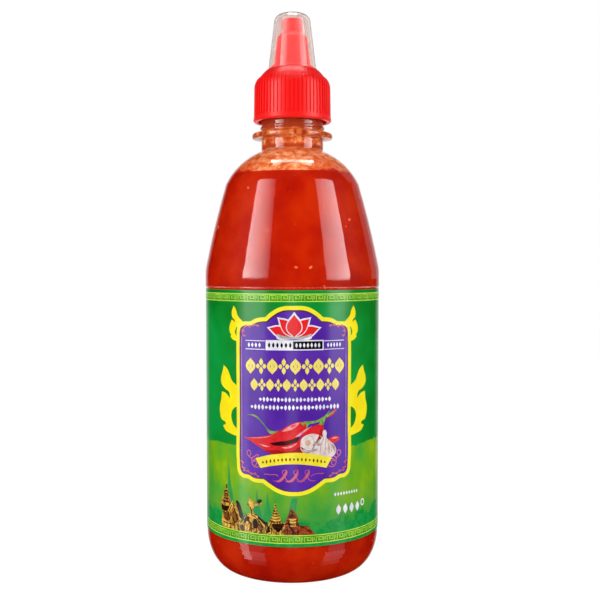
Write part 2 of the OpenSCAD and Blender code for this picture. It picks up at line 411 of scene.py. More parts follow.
def lathe(name, profile, steps=128):
    """A profile of (radius, height) spun round the axis."""
    mesh = bpy.data.meshes.new(name)
    corners = [(radius * MM, 0, height * MM) for radius, height in profile]
    mesh.from_pydata(corners, [(i, i + 1) for i in range(len(corners) - 1)], [])
    piece = bpy.data.objects.new(name, mesh)
    bpy.context.scene.collection.objects.link(piece)
    start_edit(piece)
    bpy.ops.mesh.select_mode(type="VERT")
    bpy.ops.mesh.select_all(action="SELECT")
    bpy.ops.mesh.spin(steps=steps, angle=2 * math.pi, center=(0, 0, 0), axis=(0, 0, 1))
    bpy.ops.mesh.select_all(action="SELECT")
    bpy.ops.mesh.remove_doubles(threshold=0.002 * MM)
    bpy.ops.mesh.normals_make_consistent(inside=False)
    bpy.ops.object.mode_set(mode="OBJECT")
    return piece


def pour_sauce():
    """The sauce, reaching a little way into the wall so that no air shows between them."""
    profile = [(0, inner_wall(HEEL, -90)[1])]
    profile += [inner_wall(HEEL, lean) for lean in range(-86, 0, 3)]
    rows = 70
    profile += [inner_wall(HEEL + (FILL - HEEL) * i / rows, 0) for i in range(rows + 1)]
    profile += [(profile[-1][0] * share, FILL) for share in (0.8, 0.4)] + [(0, FILL)]
    piece = lathe("sauce_fill", profile)
    smooth(piece, 50)
    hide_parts("sauce")
    hand_over(piece, SAUCE)


def coat_wall():
    """The coat that the sauce leaves on the shoulder and in the neck, above its level."""
    profile = [inner_wall(FILL - 0.1, lean) for lean in range(0, 42, 2)]
    foot = profile[-1][1]
    rows = 36
    top = RIM - 0.8
    profile += [inner_wall(foot + (top - foot) * i / rows, 0) for i in range(1, rows + 1)]
    piece = lathe("sauce_coat", profile)
    skin = piece.modifiers.new("coat", "SOLIDIFY")
    skin.thickness = COAT * MM
    skin.offset = -1
    apply_modifiers(piece)
    smooth(piece, 50)
    hand_over(piece, SMEAR)


pour_sauce()
coat_wall()


def scatter(name, count, heights, size, spread, finish, into):
    """Little flat bits laid on the surface of a piece, half sunk, joined to one mesh."""
    outside = 0.1       # metres from the axis, clear of every piece
    bits = []
    target = bpy.data.objects[into]
    while len(bits) < count:
        height = chance.uniform(*heights) * MM
        turn = chance.uniform(-math.pi, math.pi)
        way = Vector((math.sin(turn), -math.cos(turn), 0))
        hit, spot, normal, _ = target.ray_cast(Vector((0, 0, height)) + way * outside, -way)
        if not hit:
            continue
        length = size * chance.uniform(0.6, 1.3) * MM
        select_none()
        bpy.ops.mesh.primitive_uv_sphere_add(segments=7, ring_count=4, radius=0.5)
        bit = bpy.context.active_object
        bit.scale = (length, length * chance.uniform(*spread), BIT * MM)
        bit.rotation_euler = normal.to_track_quat("Z", "Y").to_euler()
        bit.rotation_euler.rotate_axis("Z", chance.uniform(0, math.pi))
        bit.location = spot
        bits.append(bit)
    select_only(*bits)
    bpy.ops.object.join()
    bpy.ops.object.transform_apply(location=True, rotation=True, scale=True)
    piece = bpy.context.active_object
    piece.name = name
    smooth(piece, 60)
    hand_over(piece, finish)


scatter("seeds_in_sauce", 100, (4, FILL - 2), 1.3, (0.5, 0.8), SEED, "sauce_fill")
scatter("seeds_on_wall", 26, (FILL + 1, 160), 1.5, (0.5, 0.8), SEED, "sauce_coat")
scatter("skin_in_sauce", 70, (4, FILL - 1), 1.0, (0.4, 0.9), SKIN, "sauce_fill")
scatter("skin_on_wall", 34, (FILL + 1, 160.5), 0.9, (0.4, 0.9), SKIN, "sauce_coat")


# ------------------------------------------------ print: drawing and wrapping

def flipped(outline):
    """The outline mirrored about the panel's centre line."""
    return [(2 * MIDDLE - point[0],) + tuple(point[1:]) for point in reversed(outline)]


def moved(outline, along, up, size=1.0):
    return [(point[0] * size + along, point[1] * size + up) + tuple(point[2:]) for point in outline]


def stroke(path, width, end=None):
    """The outline of a line of ink along a path; with end, it tapers to that width."""
    last = len(path) - 1
    end = width if end is None else end
    sides = ([], [])
    for i, (u, z) in enumerate(path):
        before, after = path[max(i - 1, 0)], path[min(i + 1, last)]
        along = Vector((after[0] - before[0], after[1] - before[1])).normalized()
        half = (width + (end - width) * i / last) / 2
        for side, sign in zip(sides, (1, -1)):
            side.append((u - along.y * half * sign, z + along.x * half * sign))
    return [sides[0][0] + (1,)] + sides[0][1:-1] + [sides[0][-1] + (1,), sides[1][-1] + (1,)] \
        + sides[1][-2:0:-1] + [sides[1][0] + (1,)]


def box(left, right, low, high):
    return [(left, low, 1), (right, low, 1), (right, high, 1), (left, high, 1)]


def oval(u, z, wide, tall):
    return [(u + wide, z), (u, z + tall), (u - wide, z), (u, z - tall)]


def bud(u, z, wide, tall):
    """A pointed oval."""
    return [(u, z - tall, 1), (u + wide, z), (u, z + tall, 1), (u - wide, z)]


def shrunk(outline, inset):
    """The outline drawn in by inset all round."""
    corners = [Vector(point[:2]) for point in outline]
    area = sum(a.x * b.y - b.x * a.y for a, b in zip(corners, corners[1:] + corners[:1]))
    sign = 1 if area > 0 else -1
    drawn = []
    for i, here in enumerate(corners):
        back = (here - corners[i - 1]).normalized()
        on = (corners[(i + 1) % len(corners)] - here).normalized()
        side = Vector((-(back.y + on.y), back.x + on.x)) * sign
        side.normalize()
        lean = max(0.5, side.dot(Vector((-on.y, on.x)) * sign))
        spot = here + side * inset / lean
        drawn.append((spot.x, spot.y) + tuple(outline[i][2:]))
    return drawn


def apart(outlines):
    """Each outline as a fill of its own, so that they may overlap."""
    return [[outline] for outline in outlines]


def both_sides(fills):
    """The fills and their mirror images about the panel's centre line."""
    return fills + [[flipped(outline) for outline in fill] for fill in fills]


def flat_fill(outlines):
    """Closed outlines in one flat filled curve, made a mesh one layer of ink thick."""
    curve = bpy.data.curves.new("outline", "CURVE")
    curve.dimensions = "2D"
    curve.fill_mode = "BOTH"
    curve.resolution_u = 5
    curve.extrude = INK / 2
    for outline in outlines:
        spline = curve.splines.new("BEZIER")
        spline.bezier_points.add(len(outline) - 1)
        spline.use_cyclic_u = True
        for point, (u, z, *corner) in zip(spline.bezier_points, outline):
            point.co = (u, z, 0)
            point.handle_left_type = point.handle_right_type = "VECTOR" if corner else "AUTO"
    piece = bpy.data.objects.new("shape", curve)
    bpy.context.scene.collection.objects.link(piece)
    select_only(piece)
    bpy.ops.object.convert(target="MESH")
    return bpy.context.active_object


def wrap(piece, layer):
    """Cuts a flat shape into strips and wraps it round the label, as that layer of the print."""
    along = [vertex.co.x for vertex in piece.data.vertices]
    start_edit(piece)
    bpy.ops.mesh.select_all(action="SELECT")
    bpy.ops.mesh.remove_doubles(threshold=WELD)
    bpy.ops.mesh.normals_make_consistent(inside=False)
    for cut in range(math.ceil(min(along) / STRIP), math.floor(max(along) / STRIP) + 1):
        bpy.ops.mesh.select_all(action="SELECT")
        bpy.ops.mesh.bisect(plane_co=(cut * STRIP, 0, 0), plane_no=(1, 0, 0))
    bpy.ops.mesh.select_all(action="SELECT")
    bpy.ops.mesh.dissolve_degenerate(threshold=SLIVER)
    bpy.ops.object.mode_set(mode="OBJECT")
    for vertex in piece.data.vertices:
        u, z, lift = vertex.co
        radius = LABEL_R + layer * INK + lift - INK / 2
        turn = u / LABEL_R
        vertex.co = Vector((radius * math.sin(turn), -radius * math.cos(turn), z)) * MM


def lay_print(name, fills, layer, finish):
    """One colour of the print: each fill is a list of outlines that don't overlap."""
    shapes = [flat_fill(outlines) for outlines in fills]
    select_only(*shapes)
    if len(shapes) > 1:
        bpy.ops.object.join()
    piece = bpy.context.active_object
    piece.name = name
    wrap(piece, layer)
    smooth(piece)
    hand_over(piece, finish)


def lay_ring(name, low, high, layer, finish):
    """A band of ink all round the label."""
    radius = (LABEL_R + layer * INK) * MM
    select_none()
    bpy.ops.mesh.primitive_cylinder_add(vertices=STRIPS, radius=radius, depth=(high - low) * MM,
                                        end_fill_type="NOTHING",
                                        location=(0, 0, (low + high) / 2 * MM))
    piece = bpy.context.active_object
    piece.name = name
    bpy.ops.object.transform_apply(location=True, rotation=True, scale=True)
    start_edit(piece)
    bpy.ops.mesh.select_all(action="SELECT")
    bpy.ops.mesh.normals_make_consistent(inside=False)
    bpy.ops.object.mode_set(mode="OBJECT")
    film = piece.modifiers.new("ink", "SOLIDIFY")
    film.thickness = INK * MM
    film.offset = -1
    apply_modifiers(piece)
    smooth(piece)
    hand_over(piece, finish)


# ------------------------------------------------ print: inks

YELLOW = ink("yellow_frame_ink", "#FCEE2E", "#F6E81E")
FLAME = ink("golden_yellow_ink", "#FFEE00", "#FCE400")
PURPLE = ink("purple_ink", "#5C28AA", "#501A9E", 12)
MAROON = ink("maroon_ink", "#5A1020", "#480C20")
LILAC = ink("lilac_line_ink", "#B87FC0", "#9A62B4")
ROSE = ink("rose_line_ink", "#DC6A80", "#B84E7C")
WHITE = ink("white_ink", "#F6F4F8", "#E2DFEC")
BLACK = ink("black_ink", "#14121A", "#0A080E")
GREY = ink("grey_ink", "#BDBDB9", "#9EA09C", 1.5)
EMBLEM_RED = ink("emblem_red_ink", "#F41E22", "#E51A20")
TITLE = ink("pale_yellow_ink", "#FAE872", "#F3DC63")
CHILI = ink("chili_red_ink", "#EA202A", "#D0141E", 5, 1.5)
CHILI_DARK = ink("dark_chili_ink", "#4A0810", "#33060C")
CHILI_SHADE = ink("shaded_chili_ink", "#B8101C", "#9C0C18")
SHINE = ink("pale_shine_ink", "#F6A4A0", "#EE7C80", 1.5)
STEM = ink("stem_green_ink", "#8FB24C", "#5E8F3E", 1.5)
GARLIC = ink("garlic_skin_ink", "#EFE3DF", "#D8C2BC", 3, 0.8)
GARLIC_TAN = ink("garlic_root_ink", "#D9B294", "#C79A7C", 1.5)
GARLIC_SHADE = ink("garlic_shade_ink", "#BBA2A4", "#9C8690", 1.5)
BANNER = ink("banner_yellow_ink", "#FFF03A", "#F2DE22")
BAND = ink("olive_band_ink", "#56A01A", "#428E14", 6)
KEY = ink("pale_key_ink", "#B2E650", "#98D63C", 3)
LINE = ink("pale_lime_line_ink", "#CDF05C", "#B4E64C", 3)
GOLD = ink("temple_gold_ink", "#EDB848", "#6A3A0A", 1.6, 0.5, 0.07)
GOLD_LIGHT = ink("light_gold_ink", "#F4CC58", "#D89C2C", 1.2)
BROWN = ink("temple_brown_ink", "#96581C", "#3C1C06", 1.2, 0.5, 0.06)
UMBER = ink("dark_umber_ink", "#3A1C08", "#200E04", 1.2)
TILE = ink("red_tile_ink", "#B4521C", "#6E200A", 1.2, 0.6, 0.08)
SPIRE = ink("far_spire_ink", "#2F9C48", "#1E9050", 4)

# ------------------------------------------------ print: borders round the label

BORDERS = ((LABEL_TOP - 4.1, LABEL_TOP - 1.2), (LABEL_BASE + 1.2, LABEL_BASE + 4.3))
RULE = 0.32                            # width of the fine line along each edge of a border
REPEATS = 50                           # keys in each border
PITCH = 2 * math.pi * LABEL_R / REPEATS

for side, (low, high) in zip(("top", "bottom"), BORDERS):
    lay_ring(side + "_band", low, high, 1, BAND)
    lay_ring(side + "_upper_line", high - RULE, high, 2, LINE)
    lay_ring(side + "_lower_line", low, low + RULE, 2, LINE)


def key_pattern(base):
    """The running key: a square hook and two short bars, repeated round the label."""
    hook = ((0.25, 0), (0.25, 1.75), (2.55, 1.75), (2.55, 0.6), (1.2, 0.6), (1.2, 1.2), (1.75, 1.2))
    outlines = []
    for count in range(REPEATS):
        start = (count - REPEATS / 2) * PITCH + 0.2
        line = []
        for side in (0.14, -0.14):
            row = []
            for i, (u, z) in enumerate(hook):
                before = Vector(hook[max(i - 1, 0)])
                after = Vector(hook[min(i + 1, len(hook) - 1)])
                here = Vector(hook[i])
                ahead = (after - here).normalized() if i < len(hook) - 1 else Vector((0, 0))
                behind = (here - before).normalized() if i else Vector((0, 0))
                row.append((u - (ahead.y + behind.y) * side, z + (ahead.x + behind.x) * side, 1))
            line += row if side > 0 else row[::-1]
        outlines.append(moved(line, start, base))
        outlines.append(moved(box(3.0, 3.3, 0, 1.9), start, base))
        outlines.append(moved(box(3.6, 3.85, 0.5, 1.9), start, base))
    return outlines


for side, (low, high) in zip(("top", "bottom"), BORDERS):
    lay_print(side + "_key_pattern", [key_pattern(low + 0.5)], 2, KEY)


# ------------------------------------------------ print: the front panel

half_panel = [(0, 101.7), (4.5, 101.4), (8, 99.7), (10.4, 97.7, 1), (13.2, 97.4), (14.6, 96.9),
              (15.9, 96.2), (19.2, 95.9), (21.0, 95.0), (21.9, 93.2), (22.1, 90.5), (22.1, 60, 1),
              (22.1, 44.6), (21.5, 41.5), (19.8, 40.0), (17.2, 39.7), (15.2, 38.8), (11.4, 38.6, 1),
              (9.3, 37.2), (5.8, 35.3), (2.4, 34.4), (0, 34.3)]
panel = [(MIDDLE + u, *rest) for u, *rest in half_panel] \
    + [(MIDDLE - u, *rest) for u, *rest in half_panel[-2:0:-1]]
lay_print("panel_frame", [[panel]], 2, YELLOW)
lay_print("panel_rim", [[shrunk(panel, 1.45)]], 3, MAROON)
lay_print("panel_field", [[moved(shrunk(panel, 1.72), 0.18, -0.08)]], 4, PURPLE)

side_line = [[(-18.9, 90.5), (-18.9, 70), (-18.9, 46.5)], [(20.7, 90.5), (20.7, 70), (20.7, 46.5)]]
lay_print("panel_inner_lines", [[stroke(line, 0.34) for line in side_line]], 5, LILAC)
sprigs = []
for stem in ([(-18.4, 93.2), (-17.2, 94.2), (-15.6, 94.6), (-14.0, 94.7), (-12.4, 95.0)],
             [(-18.2, 93.0), (-18.5, 92.2), (-18.2, 91.4), (-17.8, 90.6)],
             [(-19.1, 46.2), (-18.6, 45.0), (-18.8, 44.0), (-18.0, 43.0)],
             [(-18.0, 42.9), (-16.4, 42.2), (-15.0, 41.9), (-13.6, 41.5), (-12.4, 41.2)]):
    sprigs.append([stroke(stem, 0.3)])
    for i, (u, z) in enumerate(stem):
        sprigs.append([oval(u + 0.15, z + (0.35 if i % 2 else -0.35), 0.55, 0.32)])
lay_print("corner_sprigs", both_sides(sprigs), 5, ROSE)

# Emblem: a red lotus on white over a plain name plate, with nothing written on it.
middle_petal = [(0.9, 90.6, 1), (3.6, 94.0), (0.9, 98.8, 1), (-1.8, 94.0)]
inner_petal = [(0.9, 90.6, 1), (4.4, 92.3), (6.3, 97.2, 1), (2.6, 96.0)]
outer_petal = [(0.9, 90.6, 1), (5.6, 90.5), (9.9, 93.9, 1), (5.6, 94.4)]
lotus = [outer_petal, flipped(outer_petal), inner_petal, flipped(inner_petal), middle_petal]
lay_print("emblem_white", [[shrunk(petal, -0.42)] for petal in lotus]
          + [[box(-9.3, 11.5, 86.05, 89.65)], [oval(MIDDLE, 91.3, 6.5, 1.3)]], 5, WHITE)
lay_print("emblem_outer_petals", [[shrunk(petal, 0.06)] for petal in lotus[:2]], 6, EMBLEM_RED)
lay_print("emblem_inner_edges", [[shrunk(petal, -0.18)] for petal in lotus[2:4]], 7, WHITE)
lay_print("emblem_inner_petals", [[shrunk(petal, 0.06)] for petal in lotus[2:4]], 8, EMBLEM_RED)
lay_print("emblem_middle_edge", [[shrunk(middle_petal, -0.2)]], 9, WHITE)
lay_print("emblem_middle_petal", [[shrunk(middle_petal, 0.08)]], 10, EMBLEM_RED)
under_lotus = [(-5.2, 91.5), (-2, 90.6), (0.9, 90.4), (3.8, 90.6), (7.0, 91.5)]
lay_print("emblem_base", [[stroke(under_lotus, 0.8)]], 11, GREY)
lay_print("plate_black", [[box(0.5, 11.1, 86.45, 89.25)],
                          [bud(-8 + 1.5 * i, 87.85, 0.45, 1.0) for i in range(6)]], 6, BLACK)
lay_print("plate_marks", [[bud(1.7 + 1.35 * i, 87.85, 0.4, 0.9) for i in range(7)]], 7, WHITE)
rules = [box(left, right, low, low + 0.24)
         for left, right in ((-17.2, -9.6), (11.8, 19.8)) for low in (89.2, 86.2)]
lay_print("plate_rules", [rules,
                          [bud(-15.8 + 1.4 * i, 87.8, 0.42, 0.85) for i in range(4)],
                          [bud(13.2 + 1.2 * i, 87.8, 0.38, 0.85) for i in range(5)]], 5, WHITE)


def ornament_row(left, right, low, high, count, weight):
    """A row of open buds and four-petalled flowers in place of writing."""
    fills, pitch, tall = [], (right - left) / count, (high - low) / 2
    middle = (low + high) / 2
    for i in range(count):
        u = left + pitch * (i + 0.5)
        if i % 2 == 0:
            wide = pitch * 0.47
            fills.append([bud(u, middle, wide, tall),
                          bud(u, middle, wide - weight, tall - weight * 1.5)])
            fills.append([oval(u, middle, weight * 0.5, weight * 0.8)])
        else:
            reach = min(tall, pitch * 0.5)
            fills.append([bud(u, middle + tall * 0.52, reach * 0.36, tall * 0.5)])
            fills.append([bud(u, middle - tall * 0.52, reach * 0.36, tall * 0.5)])
            for way in (1, -1):
                side = [(u + way * weight * 0.4, middle, 1),
                        (u + way * reach * 0.55, middle + tall * 0.3),
                        (u + way * reach, middle, 1),
                        (u + way * reach * 0.55, middle - tall * 0.3)]
                fills.append([side])
    return fills


lay_print("title_ornaments", ornament_row(-17.2, 19.9, 77.5, 83.2, 9, 1.15)
          + ornament_row(-15.2, 17.7, 71.5, 76.0, 11, 0.9), 5, TITLE)
small_marks = [[bud(-11.3 + 1.32 * i, 68.6, 0.48, 0.95 if i % 3 else 0.6) for i in range(20)],
               [bud(-14.6 + 1.38 * i, 65.8, 0.5, 1.0 if i % 4 else 0.6) for i in range(24)]]
lay_print("tagline_ornaments", small_marks, 5, WHITE)


# ------------------------------------------------ print: chilies and garlic

chili_top = [(-18.1, 54.5, 1), (-14, 54.9), (-9.5, 55.6), (-6.3, 56.5), (-3.2, 58.3), (0, 60.0),
             (3.0, 60.8), (4.6, 60.3), (5.2, 58.9), (3.9, 57.0), (1.3, 55.0), (-1.4, 53.7),
             (-6, 52.6), (-12, 52.9)]
chili_low = [(-15.5, 53.6, 1), (-9, 53.4), (-4, 52.8), (0, 53.0), (2.4, 54.4), (5, 57.4), (8, 59.2),
             (10.2, 59.8), (11.3, 59.2), (11.3, 56.5), (10.0, 53.8), (7, 50.6), (2.5, 49.0),
             (-3, 48.6), (-8.2, 49.6), (-11.4, 51.3)]
chili_small = [(12.0, 53.4, 1), (14.3, 54.8), (16.8, 55.1), (18.0, 54.3), (16.8, 53.1),
               (14.3, 51.8, 1)]
chili_tip = [(12.8, 61.7, 1), (14.2, 63.6), (16.6, 65.2, 1), (15.6, 63.2)]
lay_print("chilies_under", [[chili_low], [chili_small], [chili_tip]], 5, CHILI)
lay_print("chili_over", [[chili_top]], 6, CHILI)
chili_hollow = [(-8.0, 53.1, 1), (-4.4, 53.7), (-1.2, 54.2), (2.2, 55.4, 1), (2.6, 54.6),
                (0, 53.0), (-3.8, 52.3), (-6.5, 52.4)]
lay_print("chili_hollow", [[chili_hollow]], 7, CHILI_DARK)
chili_shade = [
    [(-9.8, 50.4, 1), (-5.6, 50.6), (-0.5, 50.2), (4, 51.5), (3.2, 49.2, 1), (-3, 48.8),
     (-8, 49.5)],
    [(7.2, 52.0, 1), (9.4, 54.8), (10.6, 58.6, 1), (11.2, 56.4), (9.8, 53.6)],
]
lay_print("chili_shade", apart(chili_shade), 6, CHILI_SHADE)
shines = [
    [(-16.6, 54.5, 1), (-12, 54.95), (-8.2, 55.5), (-5.8, 56.2, 1), (-9.2, 55.1), (-12.4, 54.6)],
    [(-3.6, 57.3, 1), (-1.2, 59.0), (1.4, 60.3), (2.8, 60.5, 1), (1.9, 59.3), (-0.6, 57.8)],
    [(-12.2, 52.7, 1), (-9.8, 52.3), (-7.6, 51.8, 1), (-9.4, 51.7)],
    [(-3.8, 51.6, 1), (-0.6, 52.2), (2.0, 53.3, 1), (0.6, 52.0), (-1.6, 51.3)],
    [(1.2, 55.4, 1), (4.2, 57.7), (7.4, 59.3, 1), (4.9, 57.4), (2.6, 55.6)],
    [(14.4, 54.3, 1), (16.6, 54.8), (17.3, 54.4, 1), (15.8, 54.2)],
    [(-0.6, 59.0, 1), (0.6, 59.7), (1.4, 59.8, 1), (0.2, 59.0)],
]
lay_print("chili_shines", [shines], 7, SHINE)
stems = [
    [(3.0, 60.5, 1), (4.9, 60.9), (8.2, 61.0), (10.6, 61.9), (13.2, 63.2), (17.0, 64.7, 1),
     (13.4, 62.4), (10.8, 61.0), (8.0, 60.1), (6.2, 59.8), (5.4, 58.2, 1)],
    [(9.8, 59.6, 1), (10.5, 61.2), (12.6, 63.2), (14.0, 64.6, 1), (12.4, 62.0), (11.5, 59.4, 1)],
    [(-16.8, 62.9, 1), (-13.6, 62.9), (-10.6, 60.5), (-8.4, 58.1), (-6.9, 57.4), (-4.6, 57.7, 1),
     (-6.6, 56.4), (-8.0, 56.6), (-9.4, 58.6), (-11.6, 61.0), (-14.0, 62.4)],
]
lay_print("chili_stems", apart(stems), 6, STEM)
bulb_left = [(3.1, 52.6), (3.5, 54.7), (5.3, 56.0), (7.8, 56.4), (10.2, 55.6), (11.4, 54.4),
             (10.2, 51.5), (8.2, 49.6), (5, 49.4), (3.4, 50.6)]
bulb_right = [(11.2, 57.0), (12.0, 57.6), (12.7, 56.6), (12.6, 54.9), (14.2, 53.3), (16.2, 51.2),
              (16.4, 49.4), (15.2, 47.9), (12.6, 47.4), (9.8, 48.4), (7.4, 49.6), (7.9, 51.8),
              (9.4, 53.6), (11.1, 54.6)]
lay_print("garlic_bulbs", [[bulb_left], [bulb_right]], 6, GARLIC)
garlic_roots = [oval(5.7, 53.2, 1.0, 1.1),
                [(12.9, 54.2, 1), (13.9, 51.6), (13.6, 48.6, 1), (13.2, 51.6)]]
lay_print("garlic_roots", apart(garlic_roots), 7, GARLIC_TAN)
garlic_shades = [
    stroke([(10.2, 54.4), (8.6, 53.0), (7.7, 51.4), (7.3, 49.8)], 0.4, 0.7),
    [(14.6, 52.6, 1), (16.1, 51.0), (16.2, 49.2, 1), (15.3, 50.3), (14.9, 51.4)],
    stroke([(11.6, 54.8), (10.6, 52.4), (10.2, 49.2)], 0.24),
    stroke([(12.4, 54.9), (12.3, 52.0), (11.9, 48.6)], 0.2),
    stroke([(4.2, 51.4), (5.2, 50.6), (6.6, 50.4)], 0.3),
    [(3.5, 51.0, 1), (5.0, 50.2), (7.4, 50.6, 1), (6.6, 49.7), (4.6, 49.6)],
    stroke([(6.8, 55.8), (7.8, 54.4), (8.2, 52.8)], 0.2),
    stroke([(13.2, 54.0), (14.4, 52.2), (14.6, 49.4)], 0.22),
]
lay_print("garlic_shades", apart(garlic_shades), 7, GARLIC_SHADE)

# ------------------------------------------------ print: the banner and its ornaments

banner = [(-13.2, 47.3, 1), (-9.5, 48.5), (-4.8, 49.3), (0.9, 49.8), (6.2, 49.4), (10.4, 48.5),
          (14.8, 47.4, 1), (13.7, 45.8), (12.6, 44.0, 1), (8.4, 44.9), (0.9, 45.7), (-6.4, 45.1),
          (-11.3, 44.0, 1), (-12.4, 45.9)]
scroll = [[(-11.6, 44.6), (-13.4, 44.2), (-14.6, 45.4), (-14.8, 47.0), (-16.2, 48.2), (-16.6, 49.5),
           (-15.7, 50.0), (-15.1, 48.8), (-15.8, 47.9)],
          [(-14.8, 47.2), (-13.6, 48.0), (-12.2, 48.6), (-12.9, 47.4), (-14.4, 46.4)],
          [(-14.4, 46.0), (-13.2, 46.4), (-12.8, 45.4), (-13.6, 44.6)]]
lay_print("banner_scrolls", both_sides([[stroke(path, 0.42, 0.3)] for path in scroll]), 5, ROSE)
lay_print("banner", [[banner]], 7, BANNER)
banner_marks = []
for i in range(17):
    u = -10.4 + 1.4 * i
    rise = 47.4 - 0.0105 * (u - MIDDLE) ** 2
    banner_marks.append(bud(u, rise, 0.3, 0.75 if i % 4 else 0.5))
lay_print("banner_marks", [banner_marks], 8, MAROON)

pod = [(-6.9, 39.9, 1), (-5.4, 39.7), (-3.6, 40.9), (-2.3, 43.0), (-1.9, 43.9, 1), (-1.5, 42.9),
       (-2.4, 40.9), (-4.6, 39.2)]
POD_SHIFTS = (0, 4.0, 8.0)
pods = [moved(pod, shift, 0) for shift in POD_SHIFTS]
curls = [[stroke([(-10.0, 41.9), (-7.6, 41.8), (-5.4, 41.8), (-4.8, 41.3)], 0.32, 0.26)],
         [stroke([(6.8, 41.2), (7.6, 41.8), (9.4, 42.1), (11.6, 42.0)], 0.26, 0.32)]]
for shift in POD_SHIFTS:
    curl = [(-2.0, 43.6), (-3.2, 43.2), (-2.6, 41.4), (-1.2, 39.7), (0.6, 39.6)]
    curls.append([stroke([(u + shift, z) for u, z in curl], 0.24)])
lay_print("small_pods", apart(pods), 6, ROSE)
lay_print("pod_curls", curls, 5, ROSE)

# ------------------------------------------------ print: flames beside the panel

flame_high = [(-22.5, 101.6, 1), (-21.4, 100.1), (-20.6, 98.0), (-18.4, 96.0, 1), (-18.8, 89.0, 1),
              (-21.2, 88.9), (-23.2, 89.5), (-24.1, 90.4, 1), (-23.8, 91.0, 1), (-24.5, 92.0),
              (-24.7, 93.8), (-23.5, 96.5, 1), (-22.6, 96.1), (-21.9, 95.6, 1), (-22.1, 96.4),
              (-23.2, 97.4), (-23.5, 99.2)]
hole_high = [(-20.7, 94.0), (-21.6, 93.1), (-21.9, 91.9), (-20.8, 90.8)]
flame_low = [(-27.9, 79.8, 1), (-25.8, 78.4), (-24.7, 76.6), (-23.6, 74.6), (-20.6, 72.6, 1),
             (-20.6, 54.5, 1), (-24.4, 55.2), (-27.1, 56.1), (-28.5, 57.7, 1), (-26.9, 58.3, 1),
             (-27.0, 58.9), (-29.4, 59.9), (-30.4, 62.2), (-30.5, 64.6), (-29.6, 67.2),
             (-29.2, 70.1, 1), (-26.6, 69.6), (-24.6, 67.8, 1), (-25.0, 70.1), (-27.4, 71.3),
             (-29.4, 73.0), (-29.6, 75.3), (-28.6, 77.6)]
hole_low = [(-20.9, 65.0), (-22.9, 64.2), (-23.9, 62.3), (-23.7, 60.4), (-22.8, 58.6),
            (-20.9, 57.0, 1)]
flames = both_sides([[flame_high, hole_high], [flame_low, hole_low]])
lay_print("flames", flames, 1, FLAME)

# ------------------------------------------------ print: temples and far spires

far = [[(-25.3, 47.4, 1), (-24.8, 40), (-23.6, 34), (-22.6, 29, 1), (-27.6, 29, 1), (-26.2, 35)],
       [(-12.8, 36.6, 1), (-12.0, 31), (-10.6, 26, 1), (-15.2, 26, 1), (-13.4, 31)],
       [(-8.7, 35.6, 1), (-8.0, 30), (-6.8, 25, 1), (-10.6, 25, 1), (-9.4, 30)],
       [(0.2, 33.6, 1), (2.2, 33.4, 1), (1.6, 30.6), (1.4, 27, 1), (-1.2, 27, 1), (-0.6, 31)]]
lay_print("far_spires", apart(far), 1, SPIRE)
gold = [
    [(-26.5, 37.6, 1), (-26.0, 34.6), (-24.8, 31.8), (-23.9, 29.9), (-23.4, 31.2, 1), (-22.3, 29.4),
     (-21.3, 31.3, 1), (-20.2, 28.6), (-18.5, 25.9, 1), (-20.0, 23.0), (-20.2, 20.3, 1),
     (-28.9, 20.3, 1), (-29.6, 22.4), (-28.7, 25.5, 1), (-29.9, 27.6), (-29.9, 29.4), (-28.6, 32.4),
     (-27.1, 35.2)],
    [(-16.1, 31.4, 1), (-15.5, 33.0), (-14.6, 31.8), (-13.7, 31.5), (-12.2, 31.2), (-11.2, 32.6, 1),
     (-10.9, 31.6), (-12.4, 30.2), (-13.8, 29.8), (-14.2, 27.8), (-12.6, 26.8), (-9.4, 24.4, 1),
     (-10.0, 20.3, 1), (-20.2, 20.3, 1), (-19.2, 24.0), (-17.4, 26.4), (-15.6, 27.3), (-15.8, 29.6),
     (-16.8, 30.2)],
    [(-6.0, 33.0, 1), (-5.7, 30.5), (-5.1, 28.8), (-4.2, 27.0), (-3.2, 24.8), (-0.2, 24.4),
     (0.5, 20.3, 1), (-9.8, 20.3, 1), (-9.2, 23.0), (-8.0, 24.9), (-7.2, 27.0), (-6.5, 28.8),
     (-6.3, 30.5)],
]
lay_print("temple_walls", apart(gold), 2, GOLD)
tiled = [[(-0.3, 30.0, 1), (1.0, 28.6), (2.3, 26.6), (2.6, 24.0), (5.6, 23.4), (7.0, 22.0),
          (8.8, 20.3, 1), (-2.2, 20.3, 1), (-2.3, 24.6), (-1.5, 26.8)]]
lay_print("temple_roof", apart(tiled), 3, TILE)
shadow = [
    [(-29.8, 28.7, 1), (-27.6, 28.2), (-25.2, 28.6, 1), (-25.4, 27.0), (-27.6, 26.2),
     (-29.4, 26.6, 1)],
    [(-21.8, 30.8, 1), (-21.1, 31.2), (-18.4, 26.3, 1), (-19.2, 24.8), (-20.8, 27.8)],
    [(-14.4, 24.6, 1), (-13.3, 25.4), (-12.4, 24.2), (-12.7, 22.0, 1), (-14.2, 22.0, 1)],
    [(-13.2, 27.2, 1), (-9.4, 24.6, 1), (-9.8, 23.6, 1), (-11.6, 25.2), (-13.6, 26.6)],
    [(-7.4, 24.1, 1), (-2.6, 24.3, 1), (-3.4, 22.6), (-4.8, 21.0, 1), (-6.4, 22.4)],
    [(-1.6, 24.6, 1), (0.4, 20.8, 1), (1.4, 20.6, 1), (-0.9, 25.0, 1)],
    [(-17.4, 25.4), (-16.4, 26.2), (-15.9, 24.4), (-16.8, 22.6), (-17.8, 23.6)],
    [(-12.6, 31.4), (-11.2, 32.7), (-10.9, 31.8)],
    [(-9.9, 24.2, 1), (-9.0, 24.8, 1), (-7.6, 21.4, 1), (-8.8, 20.6, 1)],
]
lay_print("temple_shadows", apart(shadow), 4, UMBER)
